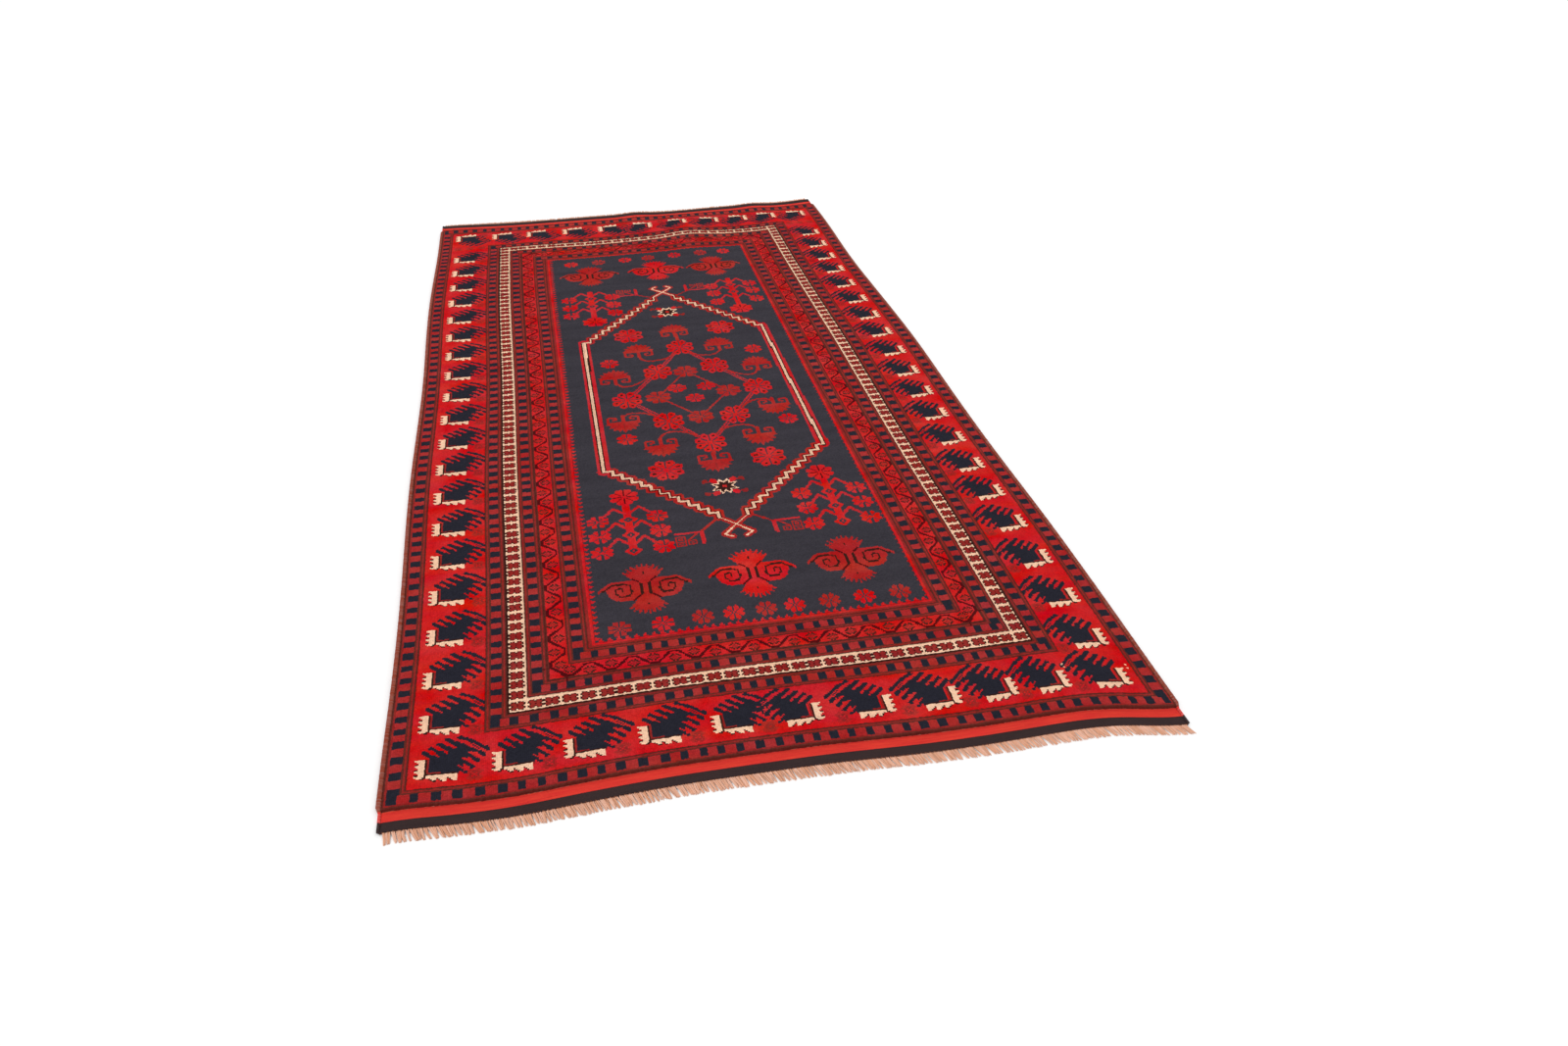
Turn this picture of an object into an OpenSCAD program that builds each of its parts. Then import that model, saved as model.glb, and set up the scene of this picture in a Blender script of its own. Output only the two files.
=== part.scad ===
// Hand-knotted wool area rug, lying flat and face up on the floor.
// X runs across the rug and Y along it, from the near end to the far end.
// The origin is on the underside, below the middle of the rug.
// The pattern is counted in knots, so most sizes below are numbers of knots.

/* [Knotting] */
// Distance from one knot to the next, across and along the rug
knot = 2.9; // [2.2:0.1:4]
// Thickness of the ground weave of warps and wefts
weave_h = 2.5; // [1.5:0.1:4]
// Height of the cut pile above the ground weave
pile_h = 6.5; // [4:0.5:12]

/* [Field and medallion, in knots] */
// Width of the dark field
field_w = 201; // [181:2:241]
// Length of the dark field
field_l = 601; // [461:2:701]
// Half the width of the six-sided medallion
medallion_half_w = 82; // [78:1:88]
// Half the length of the medallion's straight long sides
medallion_straight = 107; // [60:1:120]
// How far the medallion's points are from its middle
medallion_reach = 197; // [190:1:220]
// Steps in each of the medallion's sloping sides
medallion_steps = 12; // [6:1:12]
// Width of one step
step_w = 6; // [4:0.5:6]
// Height of one step
step_l = 6.15; // [4:0.05:6.5]

/* [Border stripes, in knots] */
// Toothed stripe around the field
sawtooth_w = 4; // [3:1:6]
// Guard stripe of small squares around the field
field_guard_w = 12; // [9:1:15]
// Narrow border with a winding vine
vine_w = 12; // [9:1:16]
// Guard stripe between the vine and the ivory border
inner_guard_w = 12; // [9:1:15]
// Ivory border of small flowers
ivory_w = 11; // [9:1:15]
// Guard stripe between the ivory border and the main border
middle_guard_w = 12; // [9:1:15]
// Main border of large dark motifs
main_w = 37; // [29:1:45]
// Guard stripe along the rug's edge
outer_guard_w = 11; // [9:1:15]

/* [Side edges] */
// Width of the wrapped cord along each side
selvedge_w = 8.7; // [6:0.1:12]
// Height of the wrapped cord
selvedge_h = 8; // [6:0.1:9]
// Thickness of the wool wrapped round the core
wrap_t = 1.6; // [1:0.1:2]

/* [Ends] */
// Length of the red flat-woven band next to the pile
red_kilim_l = 20; // [10:1:60]
// Length of the black flat-woven band outside it
black_kilim_l = 18; // [10:1:60]
// Thickness of the flat-woven bands
kilim_h = 2.4; // [1.5:0.1:4]
// Diameter of the twined cord that locks the last weft
end_cord_d = 3; // [2:0.1:4]
// Longest strand of the fringe
fringe_l = 20; // [10:1:80]
// Diameter of one fringe strand
strand_d = 2.4; // [1.5:0.1:2.8]
// Number of fringe strands at each end
strand_count = 140; // [60:1:200]

/* [Hidden] */

// Widths of the stripes, from the field outwards
stripes = [
    sawtooth_w, field_guard_w, vine_w, inner_guard_w,
    ivory_w, middle_guard_w, main_w, outer_guard_w
];
STRIPE_COUNT = len(stripes);

// How far the first n stripes reach out from the field, in knots
function reach(n) = n == 0 ? 0 : stripes[n - 1] + reach(n - 1);

pile_w = (field_w + 2 * reach(STRIPE_COUNT)) * knot;
pile_l = (field_l + 2 * reach(STRIPE_COUNT)) * knot;
edge_l = pile_l + 2 * (red_kilim_l + black_kilim_l);
selvedge_chamfer = 2;
cord_sides = 12;
half_side_turn = 180 / cord_sides;
strand_pitch = (pile_w - strand_d) / (strand_count - 1);
// Strands wear unevenly: the lengths repeat after this many strands
length_cycle = 5;
length_skip = 3;
length_step = 0.8;

// One quarter of the medallion's outline: up the steps to the point
medallion_quarter = [
    for (i = [0:medallion_steps - 1])
        for (side = [0, 1])
            [medallion_half_w - (i + side) * step_w, medallion_straight + i * step_l],
    [medallion_half_w - medallion_steps * step_w, medallion_straight + medallion_steps * step_l],
    [0, medallion_reach]
];
quarter_last = len(medallion_quarter) - 1;

// The upper half of the outline, from the right side round to the left
medallion_half = [
    for (p = medallion_quarter) p,
    for (i = [quarter_last - 1:-1:0]) [-medallion_quarter[i][0], medallion_quarter[i][1]]
];

// The whole outline: the lower half is the upper half turned half a turn
medallion_outline = [
    for (p = medallion_half) p * knot,
    for (p = medallion_half) -p * knot
];

// A block centred on the Z axis
module slab(w, l, low, high) {
    translate([-w / 2, -l / 2, low]) cube([w, l, high - low]);
}

// The stripe of pile from the n-th reach to the next one
module stripe(n) {
    inner_w = (field_w + 2 * reach(n)) * knot;
    inner_l = (field_l + 2 * reach(n)) * knot;
    outer_w = (field_w + 2 * reach(n + 1)) * knot;
    outer_l = (field_l + 2 * reach(n + 1)) * knot;
    difference() {
        slab(outer_w, outer_l, weave_h, weave_h + pile_h);
        slab(inner_w, inner_l, weave_h - 1, weave_h + pile_h + 1);
    }
}

module medallion_block(low, high) {
    translate([0, 0, low]) linear_extrude(high - low) polygon(medallion_outline);
}

// Section of a side edge, its lower side at y = 0 and its middle at x = 0
module edge_section(w, h, chamfer) {
    polygon([
        [-w / 2 + chamfer, 0], [w / 2 - chamfer, 0],
        [w / 2, chamfer], [w / 2, h - chamfer],
        [w / 2 - chamfer, h], [-w / 2 + chamfer, h],
        [-w / 2, h - chamfer], [-w / 2, chamfer]
    ]);
}

module core_section() {
    translate([0, wrap_t])
        edge_section(selvedge_w - 2 * wrap_t, selvedge_h - 2 * wrap_t, selvedge_chamfer / 2);
}

// Lays a section along a side edge: side is -1 for the left and 1 for the right
module along_edge(side) {
    translate([side * (pile_w + selvedge_w) / 2, edge_l / 2, 0])
        rotate([90, 0, 0]) linear_extrude(edge_l) children();
}

module selvedge_core(side) {
    along_edge(side) core_section();
}

module selvedge_wrap(side) {
    along_edge(side) difference() {
        edge_section(selvedge_w, selvedge_h, selvedge_chamfer);
        core_section();
    }
}

// A flat-woven band across one end: end is -1 for the near and 1 for the far
module kilim_band(end, from_pile, band_l) {
    translate([0, end * (pile_l / 2 + from_pile + band_l / 2), 0])
        slab(pile_w, band_l, 0, kilim_h);
}

module end_cord(end) {
    translate([-pile_w / 2, end * (edge_l + end_cord_d) / 2, end_cord_d / 2])
        rotate([0, 90, 0])
            rotate([0, 0, half_side_turn])
                cylinder(d = end_cord_d / cos(half_side_turn), h = pile_w, $fn = cord_sides);
}

module fringe(end) {
    root_y = edge_l / 2 + end_cord_d;
    for (i = [0:strand_count - 1]) {
        strand_l = fringe_l - (i * length_skip % length_cycle) * length_step;
        translate([-pile_w / 2 + strand_d / 2 + i * strand_pitch, end * root_y, strand_d / 2])
            rotate([-90 * end, 0, 0]) cylinder(d = strand_d, h = strand_l, $fn = 24);
    }
}

module ground_weave() { color("#8a6a58") slab(pile_w, pile_l, 0, weave_h); }
module medallion_pile() { color("#2d3247") medallion_block(weave_h, weave_h + pile_h); }
module field_pile() {
    color("#282d41") difference() {
        slab(field_w * knot, field_l * knot, weave_h, weave_h + pile_h);
        medallion_block(weave_h - 1, weave_h + pile_h + 1);
    }
}
module sawtooth_pile() { color("#cd191e") stripe(0); }
module field_guard_pile() { color("#7d322d") stripe(1); }
module vine_border_pile() { color("#d2201f") stripe(2); }
module inner_guard_pile() { color("#7a3030") stripe(3); }
module ivory_border_pile() { color("#e1c89b") stripe(4); }
module middle_guard_pile() { color("#77302e") stripe(5); }
module main_border_pile() { color("#cc1a1f") stripe(6); }
module outer_guard_pile() { color("#80362f") stripe(7); }
module left_selvedge_core() { color("#d9c6a8") selvedge_core(-1); }
module left_selvedge_wrap() { color("#8c4a3c") selvedge_wrap(-1); }
module right_selvedge_core() { color("#d9c6a8") selvedge_core(1); }
module right_selvedge_wrap() { color("#8c4a3c") selvedge_wrap(1); }
module near_red_kilim() { color("#cd2d2d") kilim_band(-1, 0, red_kilim_l); }
module far_red_kilim() { color("#cd2d2d") kilim_band(1, 0, red_kilim_l); }
module near_black_kilim() { color("#3c2d32") kilim_band(-1, red_kilim_l, black_kilim_l); }
module far_black_kilim() { color("#3c2d32") kilim_band(1, red_kilim_l, black_kilim_l); }
module near_end_cord() { color("#6b4a3c") end_cord(-1); }
module far_end_cord() { color("#6b4a3c") end_cord(1); }
module near_fringe() { color("#e1aa96") fringe(-1); }
module far_fringe() { color("#e1aa96") fringe(1); }

ground_weave();
medallion_pile();
field_pile();
sawtooth_pile();
field_guard_pile();
vine_border_pile();
inner_guard_pile();
ivory_border_pile();
middle_guard_pile();
main_border_pile();
outer_guard_pile();
left_selvedge_core();
left_selvedge_wrap();
right_selvedge_core();
right_selvedge_wrap();
near_red_kilim();
far_red_kilim();
near_black_kilim();
far_black_kilim();
near_end_cord();
far_end_cord();
near_fringe();
far_fringe();
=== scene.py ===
import math

import bpy
import numpy as np
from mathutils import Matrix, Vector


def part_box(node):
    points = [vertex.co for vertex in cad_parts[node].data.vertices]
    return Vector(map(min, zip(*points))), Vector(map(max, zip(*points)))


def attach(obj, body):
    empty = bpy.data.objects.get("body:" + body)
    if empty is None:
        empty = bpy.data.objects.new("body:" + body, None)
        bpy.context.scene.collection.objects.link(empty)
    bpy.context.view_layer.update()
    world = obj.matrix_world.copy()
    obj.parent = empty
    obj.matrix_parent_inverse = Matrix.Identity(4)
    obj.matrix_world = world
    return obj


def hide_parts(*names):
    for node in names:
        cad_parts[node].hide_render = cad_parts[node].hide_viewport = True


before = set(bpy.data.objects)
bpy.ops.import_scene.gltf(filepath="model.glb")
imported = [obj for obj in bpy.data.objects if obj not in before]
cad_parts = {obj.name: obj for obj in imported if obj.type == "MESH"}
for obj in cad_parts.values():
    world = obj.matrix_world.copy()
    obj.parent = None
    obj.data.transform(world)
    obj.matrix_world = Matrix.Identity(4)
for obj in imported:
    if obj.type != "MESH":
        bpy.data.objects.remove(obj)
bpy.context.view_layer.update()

# ---- The count of knots, as in the CAD model ----

FIELD_W = 201
FIELD_L = 601
# Stripes of the pattern, from the field outwards: width in knots, and the slot of its wool
STRIPES = {
    "sawtooth": (4, "red_pile"),
    "field_guard": (12, "rust_pile"),
    "vine_border": (12, "red_pile"),
    "inner_guard": (12, "rust_pile"),
    "ivory_border": (11, "ivory_pile"),
    "middle_guard": (12, "rust_pile"),
    "main_border": (37, "red_pile"),
    "outer_guard": (11, "rust_pile"),
}
BORDER = sum(width for width, _ in STRIPES.values())
COLUMNS = FIELD_W + 2 * BORDER
ROWS = FIELD_L + 2 * BORDER
HALF_U = COLUMNS / 2
HALF_V = ROWS / 2
# Column and row of the middle knot
MID_U = COLUMNS // 2
MID_V = ROWS // 2

weave_low, weave_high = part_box("ground_weave")
pile_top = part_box("field_pile")[1].z
KNOT = (weave_high.x - weave_low.x) / COLUMNS
WEAVE_H = weave_high.z
PILE_H = pile_top - WEAVE_H
RED_KILIM_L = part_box("far_red_kilim")[1].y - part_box("far_red_kilim")[0].y
BLACK_KILIM_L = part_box("far_black_kilim")[1].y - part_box("far_black_kilim")[0].y
KILIM_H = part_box("far_red_kilim")[1].z
END_CORD_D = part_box("far_end_cord")[1].z
FRINGE_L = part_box("far_fringe")[1].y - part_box("far_fringe")[0].y
SELVEDGE_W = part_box("left_selvedge_wrap")[1].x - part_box("left_selvedge_wrap")[0].x
SELVEDGE_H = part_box("left_selvedge_wrap")[1].z
CORE_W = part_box("left_selvedge_core")[1].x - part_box("left_selvedge_core")[0].x

SEED = 7
rng = np.random.default_rng(SEED)

# ---- The dyed yarns: name, colour as seen (sRGB, 0 to 255), letter in the charts ----

YARNS = [
    ("navy", (59, 56, 63), "N"),
    ("scarlet", (210, 30, 32), "R"),
    ("crimson", (150, 40, 37), "C"),
    ("rust", (102, 43, 36), "B"),
    ("olive", (58, 28, 22), "O"),
    ("ivory", (255, 208, 174), "I"),
    ("maroon", (84, 12, 16), "M"),
    ("brick", (178, 40, 36), "D"),
    ("rose", (200, 40, 46), "P"),
    ("madder", (174, 44, 43), "Q"),
    ("ink", (38, 38, 48), "K"),
]
NAVY, SCARLET, CRIMSON, RUST, OLIVE, IVORY, MAROON, BRICK, ROSE, MADDER, INK = range(len(YARNS))
YARN_OF_LETTER = {letter: i for i, (_, _, letter) in enumerate(YARNS)}

# The cartoon says which yarn every knot is tied with: one row of the array is one row of knots
cartoon = np.full((ROWS, COLUMNS), NAVY, dtype=np.uint8)


# ---- Drawing on the cartoon: u counts knots across and v along, from the middle knot ----

def window(u0, v0, u1, v1):
    """The part of the cartoon between two corners, with its knots' own u and v."""
    c0 = max(0, math.floor(min(u0, u1)) + MID_U)
    c1 = min(COLUMNS, math.ceil(max(u0, u1)) + MID_U + 1)
    r0 = max(0, math.floor(min(v0, v1)) + MID_V)
    r1 = min(ROWS, math.ceil(max(v0, v1)) + MID_V + 1)
    v, u = np.mgrid[r0:r1, c0:c1]
    return cartoon[r0:r1, c0:c1], u - MID_U, v - MID_V


def block(u0, v0, u1, v1, yarn):
    """A filled rectangle of knots."""
    part, u, v = window(u0, v0, u1, v1)
    part[(u >= u0) & (u <= u1) & (v >= v0) & (v <= v1)] = yarn


def beyond(reach):
    """The u and v of the knots that lie so far beyond the field on all sides."""
    return (FIELD_W - 1) / 2 + reach, (FIELD_L - 1) / 2 + reach


def frame_block(reach, yarn):
    """A rectangle that reaches the same number of knots beyond the field on all sides."""
    half_u, half_v = beyond(reach)
    block(-half_u, -half_v, half_u, half_v, yarn)


def thread(points, width, yarn, only=None):
    """A line of knots through the points. With only=, it covers no other yarn than that one."""
    half = width / 2
    for (ua, va), (ub, vb) in zip(points, points[1:]):
        part, u, v = window(min(ua, ub) - half, min(va, vb) - half, max(ua, ub) + half, max(va, vb) + half)
        length2 = max((ub - ua) ** 2 + (vb - va) ** 2, 1e-9)
        t = np.clip(((u - ua) * (ub - ua) + (v - va) * (vb - va)) / length2, 0, 1)
        near = (u - ua - t * (ub - ua)) ** 2 + (v - va - t * (vb - va)) ** 2 <= half * half + 0.01
        if only is not None:
            near &= part == only
        part[near] = yarn


def inside(points, u, v):
    """True where a knot lies within an outline."""
    within = np.zeros(u.shape, dtype=bool)
    for (ua, va), (ub, vb) in zip(points, points[1:] + points[:1]):
        if va != vb:
            crosses = (va > v) != (vb > v)
            within ^= crosses & (u < (ub - ua) * (v - va) / (vb - va) + ua)
    return within


def shape(points, yarn):
    """A filled outline."""
    us = [p[0] for p in points]
    vs = [p[1] for p in points]
    part, u, v = window(min(us), min(vs), max(us), max(vs))
    part[inside(points, u, v)] = yarn


def moved(points, u, v, flip_u=1, flip_v=1):
    """The points with their origin put at (u, v), mirrored where a flip is -1."""
    return [(u + flip_u * p, v + flip_v * q) for p, q in points]


def curve(start, bend, end, steps=10):
    """Points on a bow from start to end that leans towards bend."""
    ts = [i / steps for i in range(steps + 1)]
    return [
        tuple((1 - t) ** 2 * start[k] + 2 * t * (1 - t) * bend[k] + t * t * end[k] for k in (0, 1))
        for t in ts
    ]


def stamp(chart, left, top, flip_u=1, flip_v=1):
    """A knot chart with its upper left corner at (left, top). A flip of -1 mirrors it in place."""
    rows = chart[::flip_v]
    for r, row in enumerate(rows):
        for c, letter in enumerate(row[::flip_u]):
            column = int(round(left)) + c + MID_U
            line = int(round(top)) - r + MID_V
            if letter != "." and 0 <= column < COLUMNS and 0 <= line < ROWS:
                cartoon[line, column] = YARN_OF_LETTER[letter]


# ---- Knot charts of the small motifs, one letter a knot, "." leaves what is there ----

# Ivory bracket at the lower left of each comb
BRACKET = """
IIIIIO...............
.IIIIO...............
..IIIO...............
OOIIIO...............
IIIIIO...............
.IIIIO...............
..IIIO...............
OOIIIO...............
IIIIIO...............
.IIIIO...............
..IIIO...............
OOIIIOOOOOOOOOOOOOOOO
IIIIIOIIIIIIIIIIIIIII
.IIIOOIIIIIIIIIIIIIII
...OO..OIIIOIIIIOIIII
........OII.OIII.OIII
.........OO..OII..OII
""".split()
BRACKET_LEFT = 2
BRACKET_TOP = 16

# The comb beside it: columns count from the bracket's left and rows down from the comb's top
COMB_BODY = [
    (9, 25), (9, 15), (12, 12), (15, 8.5), (19, 5), (22, 3), (27, 7), (32, 11), (31, 14), (28, 17),
    (26, 21), (23, 27.5),
]
COMB_TEETH = [
    ((5.5, 10), (11, 15.5)), ((9, 7.2), (15, 13)), ((13, 4.6), (19, 10.5)), ((17, 1.6), (23, 7)),
    ((30, 9), (35.6, 16.5)), ((26, 12.5), (32.6, 20)), ((23, 15.5), (29.8, 24)), ((20, 21), (26.4, 27)),
]
COMB_ARM = [(23, 0.8), (28.5, 4), (33, 8), (37.6, 12)]
COMB_GAPS = [
    ((8.6, 9), (13, 14)), ((12.4, 6.4), (17.2, 11.6)), ((16.4, 3.8), (21, 8.4)), ((21.6, 2.6), (33.4, 12)),
    ((28.4, 13), (33, 18)), ((25.4, 17), (30.4, 22)), ((22.6, 21.6), (26.6, 26)),
]
COMB_W = 38
COMB_L = 33

# Four-petalled flower between the combs
SMALL_FLOWER = """
..DD.DD..
.DDDCDDD.
DDDCCCDDD
.DC.C.CD.
..CCRCC..
.DC.C.CD.
DDDCCCDDD
.DDDCDDD.
..DD.DD..
""".split()

# Flower of the ivory border
CROSS_FLOWER = """
.OCO.OCO.
OCCCOCCCO
OCCCCCCCO
.OCCMCCO.
OCCCCCCCO
OCCCOCCCO
.OCO.OCO.
""".split()

# Little flower of the vine
VINE_FLOWER = """
..O.O..
.OBCBO.
OB.C.BO
..CRC..
OB.C.BO
.OBCBO.
..O.O..
""".split()

# Box of small hooks beside the medallion's points
HOOK_BOX = """
PPPPPPPPPPPPPPPPPPPP
PPPPPPPPPPPPPPPPPPPP
..............DD.PPP
.............DD..PPP
DDDDDDD.....DD...PPP
D.....D....DD....PPP
D.DDD.D...DD.....PPP
D.D.D.D..DD......PPP
D.DDD.D.DD.......PPP
D.....D.DDDDDD...PPP
DDDDDDD.D....D...PPP
D.....D.D.DD.D...PPP
D.DDD.D.D....D...PPP
D.....D.DDDDDD...PP.
DDDDDDD..........PP.
""".split()


# ---- Borders ----

def stripe(name):
    """How far the inner edge of a stripe is from the field, and its width."""
    reach = 0
    for other, (width, _) in STRIPES.items():
        if other == name:
            return reach, width
        reach += width
    raise KeyError(name)


# Rows of single colours between the squares of a guard and its edges
HAIRLINES = (RUST, CRIMSON, RUST)
# Squares of a guard: how deep they are, and the least length of a square
SQUARE_DEPTH = 6
SQUARE_L = 5


def run_of_squares(low, high, start, stop, across):
    """Squares of dark and red wool in turn along one side of a guard stripe."""
    place = start
    yarn = INK
    while place < stop:
        size = SQUARE_L + int(rng.integers(0, 2))
        if across and yarn == INK:
            size -= 1
        end = min(place + size - 1, stop)
        if across:
            block(place, low, end, high, yarn)
        else:
            block(low, place, high, end, yarn)
        place += size
        yarn = MADDER if yarn == INK else INK


def guard(name):
    """A guard stripe: squares between hairlines of crimson and rust."""
    inner, width = stripe(name)
    outer_lines = HAIRLINES[:width - SQUARE_DEPTH - len(HAIRLINES)]
    for i, yarn in enumerate(outer_lines):
        frame_block(inner + width - i, yarn)
    frame_block(inner + width - len(outer_lines), RUST)
    low = inner + len(HAIRLINES) + 1
    high = low + SQUARE_DEPTH - 1
    half_u, half_v = beyond(0)
    for side in (-1, 1):
        u0, u1 = sorted((side * (half_u + low), side * (half_u + high)))
        v0, v1 = sorted((side * (half_v + low), side * (half_v + high)))
        run_of_squares(u0, u1, -half_v - low, half_v + low, across=False)
        if side > 0:
            # Those of the far end are a knot shallower
            v1 -= 1
        run_of_squares(v0, v1, -half_u - high, half_u + high, across=True)
    for i, yarn in enumerate(HAIRLINES):
        frame_block(inner + len(HAIRLINES) - i, yarn)


# Knots from one bend of the vine to the next, and half the flat part of a bend
VINE_BEND = 12
VINE_FLAT = 2.2


def vine():
    """The narrow border: a winding vine with a flower in each bend."""
    inner, width = stripe("vine_border")
    frame_block(inner + width, RUST)
    frame_block(inner + width - 1, SCARLET)
    half_u, half_v = beyond(inner)
    far, near, flower_far, flower_near = width - 1.5, 2, 8, 4.5
    for axis, half_run, half_gap in (("v", half_v + width, half_u), ("u", half_u + width, half_v)):
        bends = 2 * round(half_run / VINE_BEND)
        step = 2 * half_run / bends
        for side in (-1, 1):
            line = []
            for i in range(bends + 1):
                place = -half_run + i * step
                depth = far if i % 2 else near
                line += [(place - VINE_FLAT, depth), (place + VINE_FLAT, depth)]
            spots = [
                (-half_run + i * step, flower_near if i % 2 else flower_far)
                for i in range(1, bends)
            ]
            if axis == "v":
                points = [(side * (half_gap + d), p) for p, d in line]
                flowers = [(side * (half_gap + d), p) for p, d in spots]
            else:
                points = [(p, side * (half_gap + d)) for p, d in line]
                flowers = [(p, side * (half_gap + d)) for p, d in spots]
            thread(points, 1.8, MAROON)
            for u, v in flowers:
                stamp(VINE_FLOWER, u - 3, v + 3)
    frame_block(inner, RUST)


# Knots from one flower of the ivory border to the next
FLOWER_PITCH_U = 9.6
FLOWER_PITCH_V = 8.8


def ivory_border():
    """The ivory border: a row of four-lobed flowers, with one in each corner."""
    inner, width = stripe("ivory_border")
    frame_block(inner + width, OLIVE)
    frame_block(inner + width - 1, IVORY)
    half_u, half_v = beyond(inner + (width + 1) / 2)
    flower_w = len(CROSS_FLOWER[0]) // 2
    flower_l = len(CROSS_FLOWER) // 2
    along_count = round(2 * half_v / FLOWER_PITCH_V)
    across_count = round(2 * half_u / FLOWER_PITCH_U)
    for side in (-1, 1):
        for i in range(along_count + 1):
            v = -half_v + i * 2 * half_v / along_count
            stamp(CROSS_FLOWER, side * half_u - flower_w, v + flower_l)
        for i in range(1, across_count):
            u = -half_u + i * 2 * half_u / across_count
            stamp(CROSS_FLOWER, u - flower_w, side * half_v + flower_l)
    frame_block(inner, OLIVE)


# Left edges of the brackets across each end: the first five face left and the rest face right
END_COMBS_LEFT = (-199, -161, -124, -86, -48)
END_COMBS_RIGHT = (-22, 18, 55, 89, 123, 159)
# Along each side: how many combs, and where the first and the last lie, counted from the corners
SIDE_COMBS = 19
FIRST_COMB = 35
LAST_COMB = 17
# From the top of a comb down to the top of the flower beside it, at an end and along a side
END_DROP = 26
SIDE_DROP = 27
# Flowers side by side in each far corner, and the knots from one to the next
CORNER_FLOWERS = 3
CORNER_PITCH = 12
# How far the combs of the right side sit beyond those of the left side, at most
RIGHT_SHIFT = 7.5


def comb(left, top, flip_u=1, flip_v=1):
    """A dark leaning comb with its ivory bracket, mirrored in place where a flip is -1."""
    right = left + COMB_W
    low = top - COMB_L

    def placed(points):
        return [
            (left + c if flip_u > 0 else right - c, top - r if flip_v > 0 else low + r)
            for c, r in points
        ]

    shape(placed(COMB_BODY), INK)
    for tooth in COMB_TEETH:
        thread(placed(tooth), 2.7, INK)
    for gap in COMB_GAPS:
        thread(placed(gap), 1.0, SCARLET)
    thread(placed(COMB_ARM), 2.4, INK)
    thread(placed([(8, 16), (8, 25.6), (23, 28)]), 1.2, CRIMSON)
    chart_left = left + BRACKET_LEFT if flip_u > 0 else right - BRACKET_LEFT - len(BRACKET[0]) + 1
    chart_top = top - BRACKET_TOP if flip_v > 0 else low + BRACKET_TOP + len(BRACKET) - 1
    stamp(BRACKET, chart_left, chart_top, flip_u, flip_v)


def main_border():
    """The main border: large combs on scarlet, mirrored left and right."""
    inner, width = stripe("main_border")
    frame_block(inner + width, SCARLET)
    half_u, half_v = beyond(inner)
    near_top = -half_v - 1
    far_top = half_v + width - 2
    for side_v in (-1, 1):
        top = near_top if side_v < 0 else far_top
        flower_v = top - END_DROP if side_v < 0 else far_top - 1
        for left in END_COMBS_LEFT:
            stamp(SMALL_FLOWER, left + 27, flower_v)
            comb(left, top, 1, -side_v)
        for left in END_COMBS_RIGHT:
            stamp(SMALL_FLOWER, left + 2, flower_v)
            comb(left, top, -1, -side_v)
    first = near_top + FIRST_COMB
    last = half_v - LAST_COMB
    for i in range(SIDE_COMBS):
        top = round(first + i * (last - first) / (SIDE_COMBS - 1))
        stamp(SMALL_FLOWER, -half_u - len(SMALL_FLOWER[0]), top - SIDE_DROP)
        comb(-half_u - width + 1, top)
        swell = min(1, 1.6 * math.sin(math.pi * i / (SIDE_COMBS - 1)))
        top += round(RIGHT_SHIFT * swell - 1)
        stamp(SMALL_FLOWER, half_u + 1, top - SIDE_DROP)
        comb(half_u + width - 1 - COMB_W, top, -1)
    for side in (-1, 1):
        for i in range(CORNER_FLOWERS):
            stamp(SMALL_FLOWER, side * (half_u + 7 + CORNER_PITCH * i) - 4, half_v - 2)
    frame_block(inner, RUST)


# How far each knot of one tooth reaches into the field, and how wide the crimson edge outside is
TEETH = (0, 0, 2, 3, 1)
CRIMSON_EDGE = 2


def sawtooth():
    """The scarlet stripe round the field: whole teeth on the left and near sides, else single knots."""
    inner, width = stripe("sawtooth")
    frame_block(inner + width, CRIMSON)
    frame_block(inner + width - CRIMSON_EDGE, SCARLET)
    frame_block(0, NAVY)
    left = -(FIELD_W - 1) // 2
    near = -(FIELD_L - 1) // 2
    for v in range(near, -near):
        depth = TEETH[v % len(TEETH)]
        block(left, v, left + depth - 1, v, SCARLET)
        if depth == 1:
            block(-left, v, -left, v, SCARLET)
    for u in range(left, -left):
        depth = TEETH[u % len(TEETH)]
        block(u, near, u, near + depth - 1, SCARLET)
        if depth == 1:
            block(u, -near, u, -near, SCARLET)


# ---- Field ----

# A flower's notches and lobes, and where the dots of its petals lie, as shares of its half size
NOTCH_R = 0.8
LOBE_R = 0.25
DOT_R = 0.76


def rosette(u0, v0, half_w, half_l, body, line, dots=None):
    """A flower of eight lobes with lines between its petals and, if asked, a dot in each."""
    part, u, v = window(u0 - half_w, v0 - half_l, u0 + half_w, v0 + half_l)
    across = (u - u0) / half_w
    along = (v - v0) / half_l
    r = np.hypot(across, along)
    turn = np.arctan2(along, across)
    lobes = np.abs(np.sin(4 * turn))
    petals = r <= NOTCH_R + LOBE_R * lobes
    part[petals] = body
    apart = np.abs(np.sin(4 * turn)) / 4 * r * half_w
    part[petals & (apart < 0.2 + 0.02 * half_w) & (r > 0.16)] = line
    part[petals & (np.abs(u - u0) < 0.6) & (np.abs(along) > 0.25)] = line
    if dots is not None:
        for k in range(8):
            angle = math.radians(22.5 + 45 * k)
            dot_u = u0 + DOT_R * half_w * math.cos(angle)
            dot_v = v0 + DOT_R * half_l * math.sin(angle)
            part[petals & (np.abs(u - dot_u) < 1.1) & (np.abs(v - dot_v) < 1.1)] = dots


# Half width and half length of the common small flower
SMALL_W = 6.8
SMALL_L = 6.6


def bright_rosette(u, v, half_w=SMALL_W, half_l=SMALL_L):
    rosette(u, v, half_w, half_l, SCARLET, NAVY)


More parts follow.
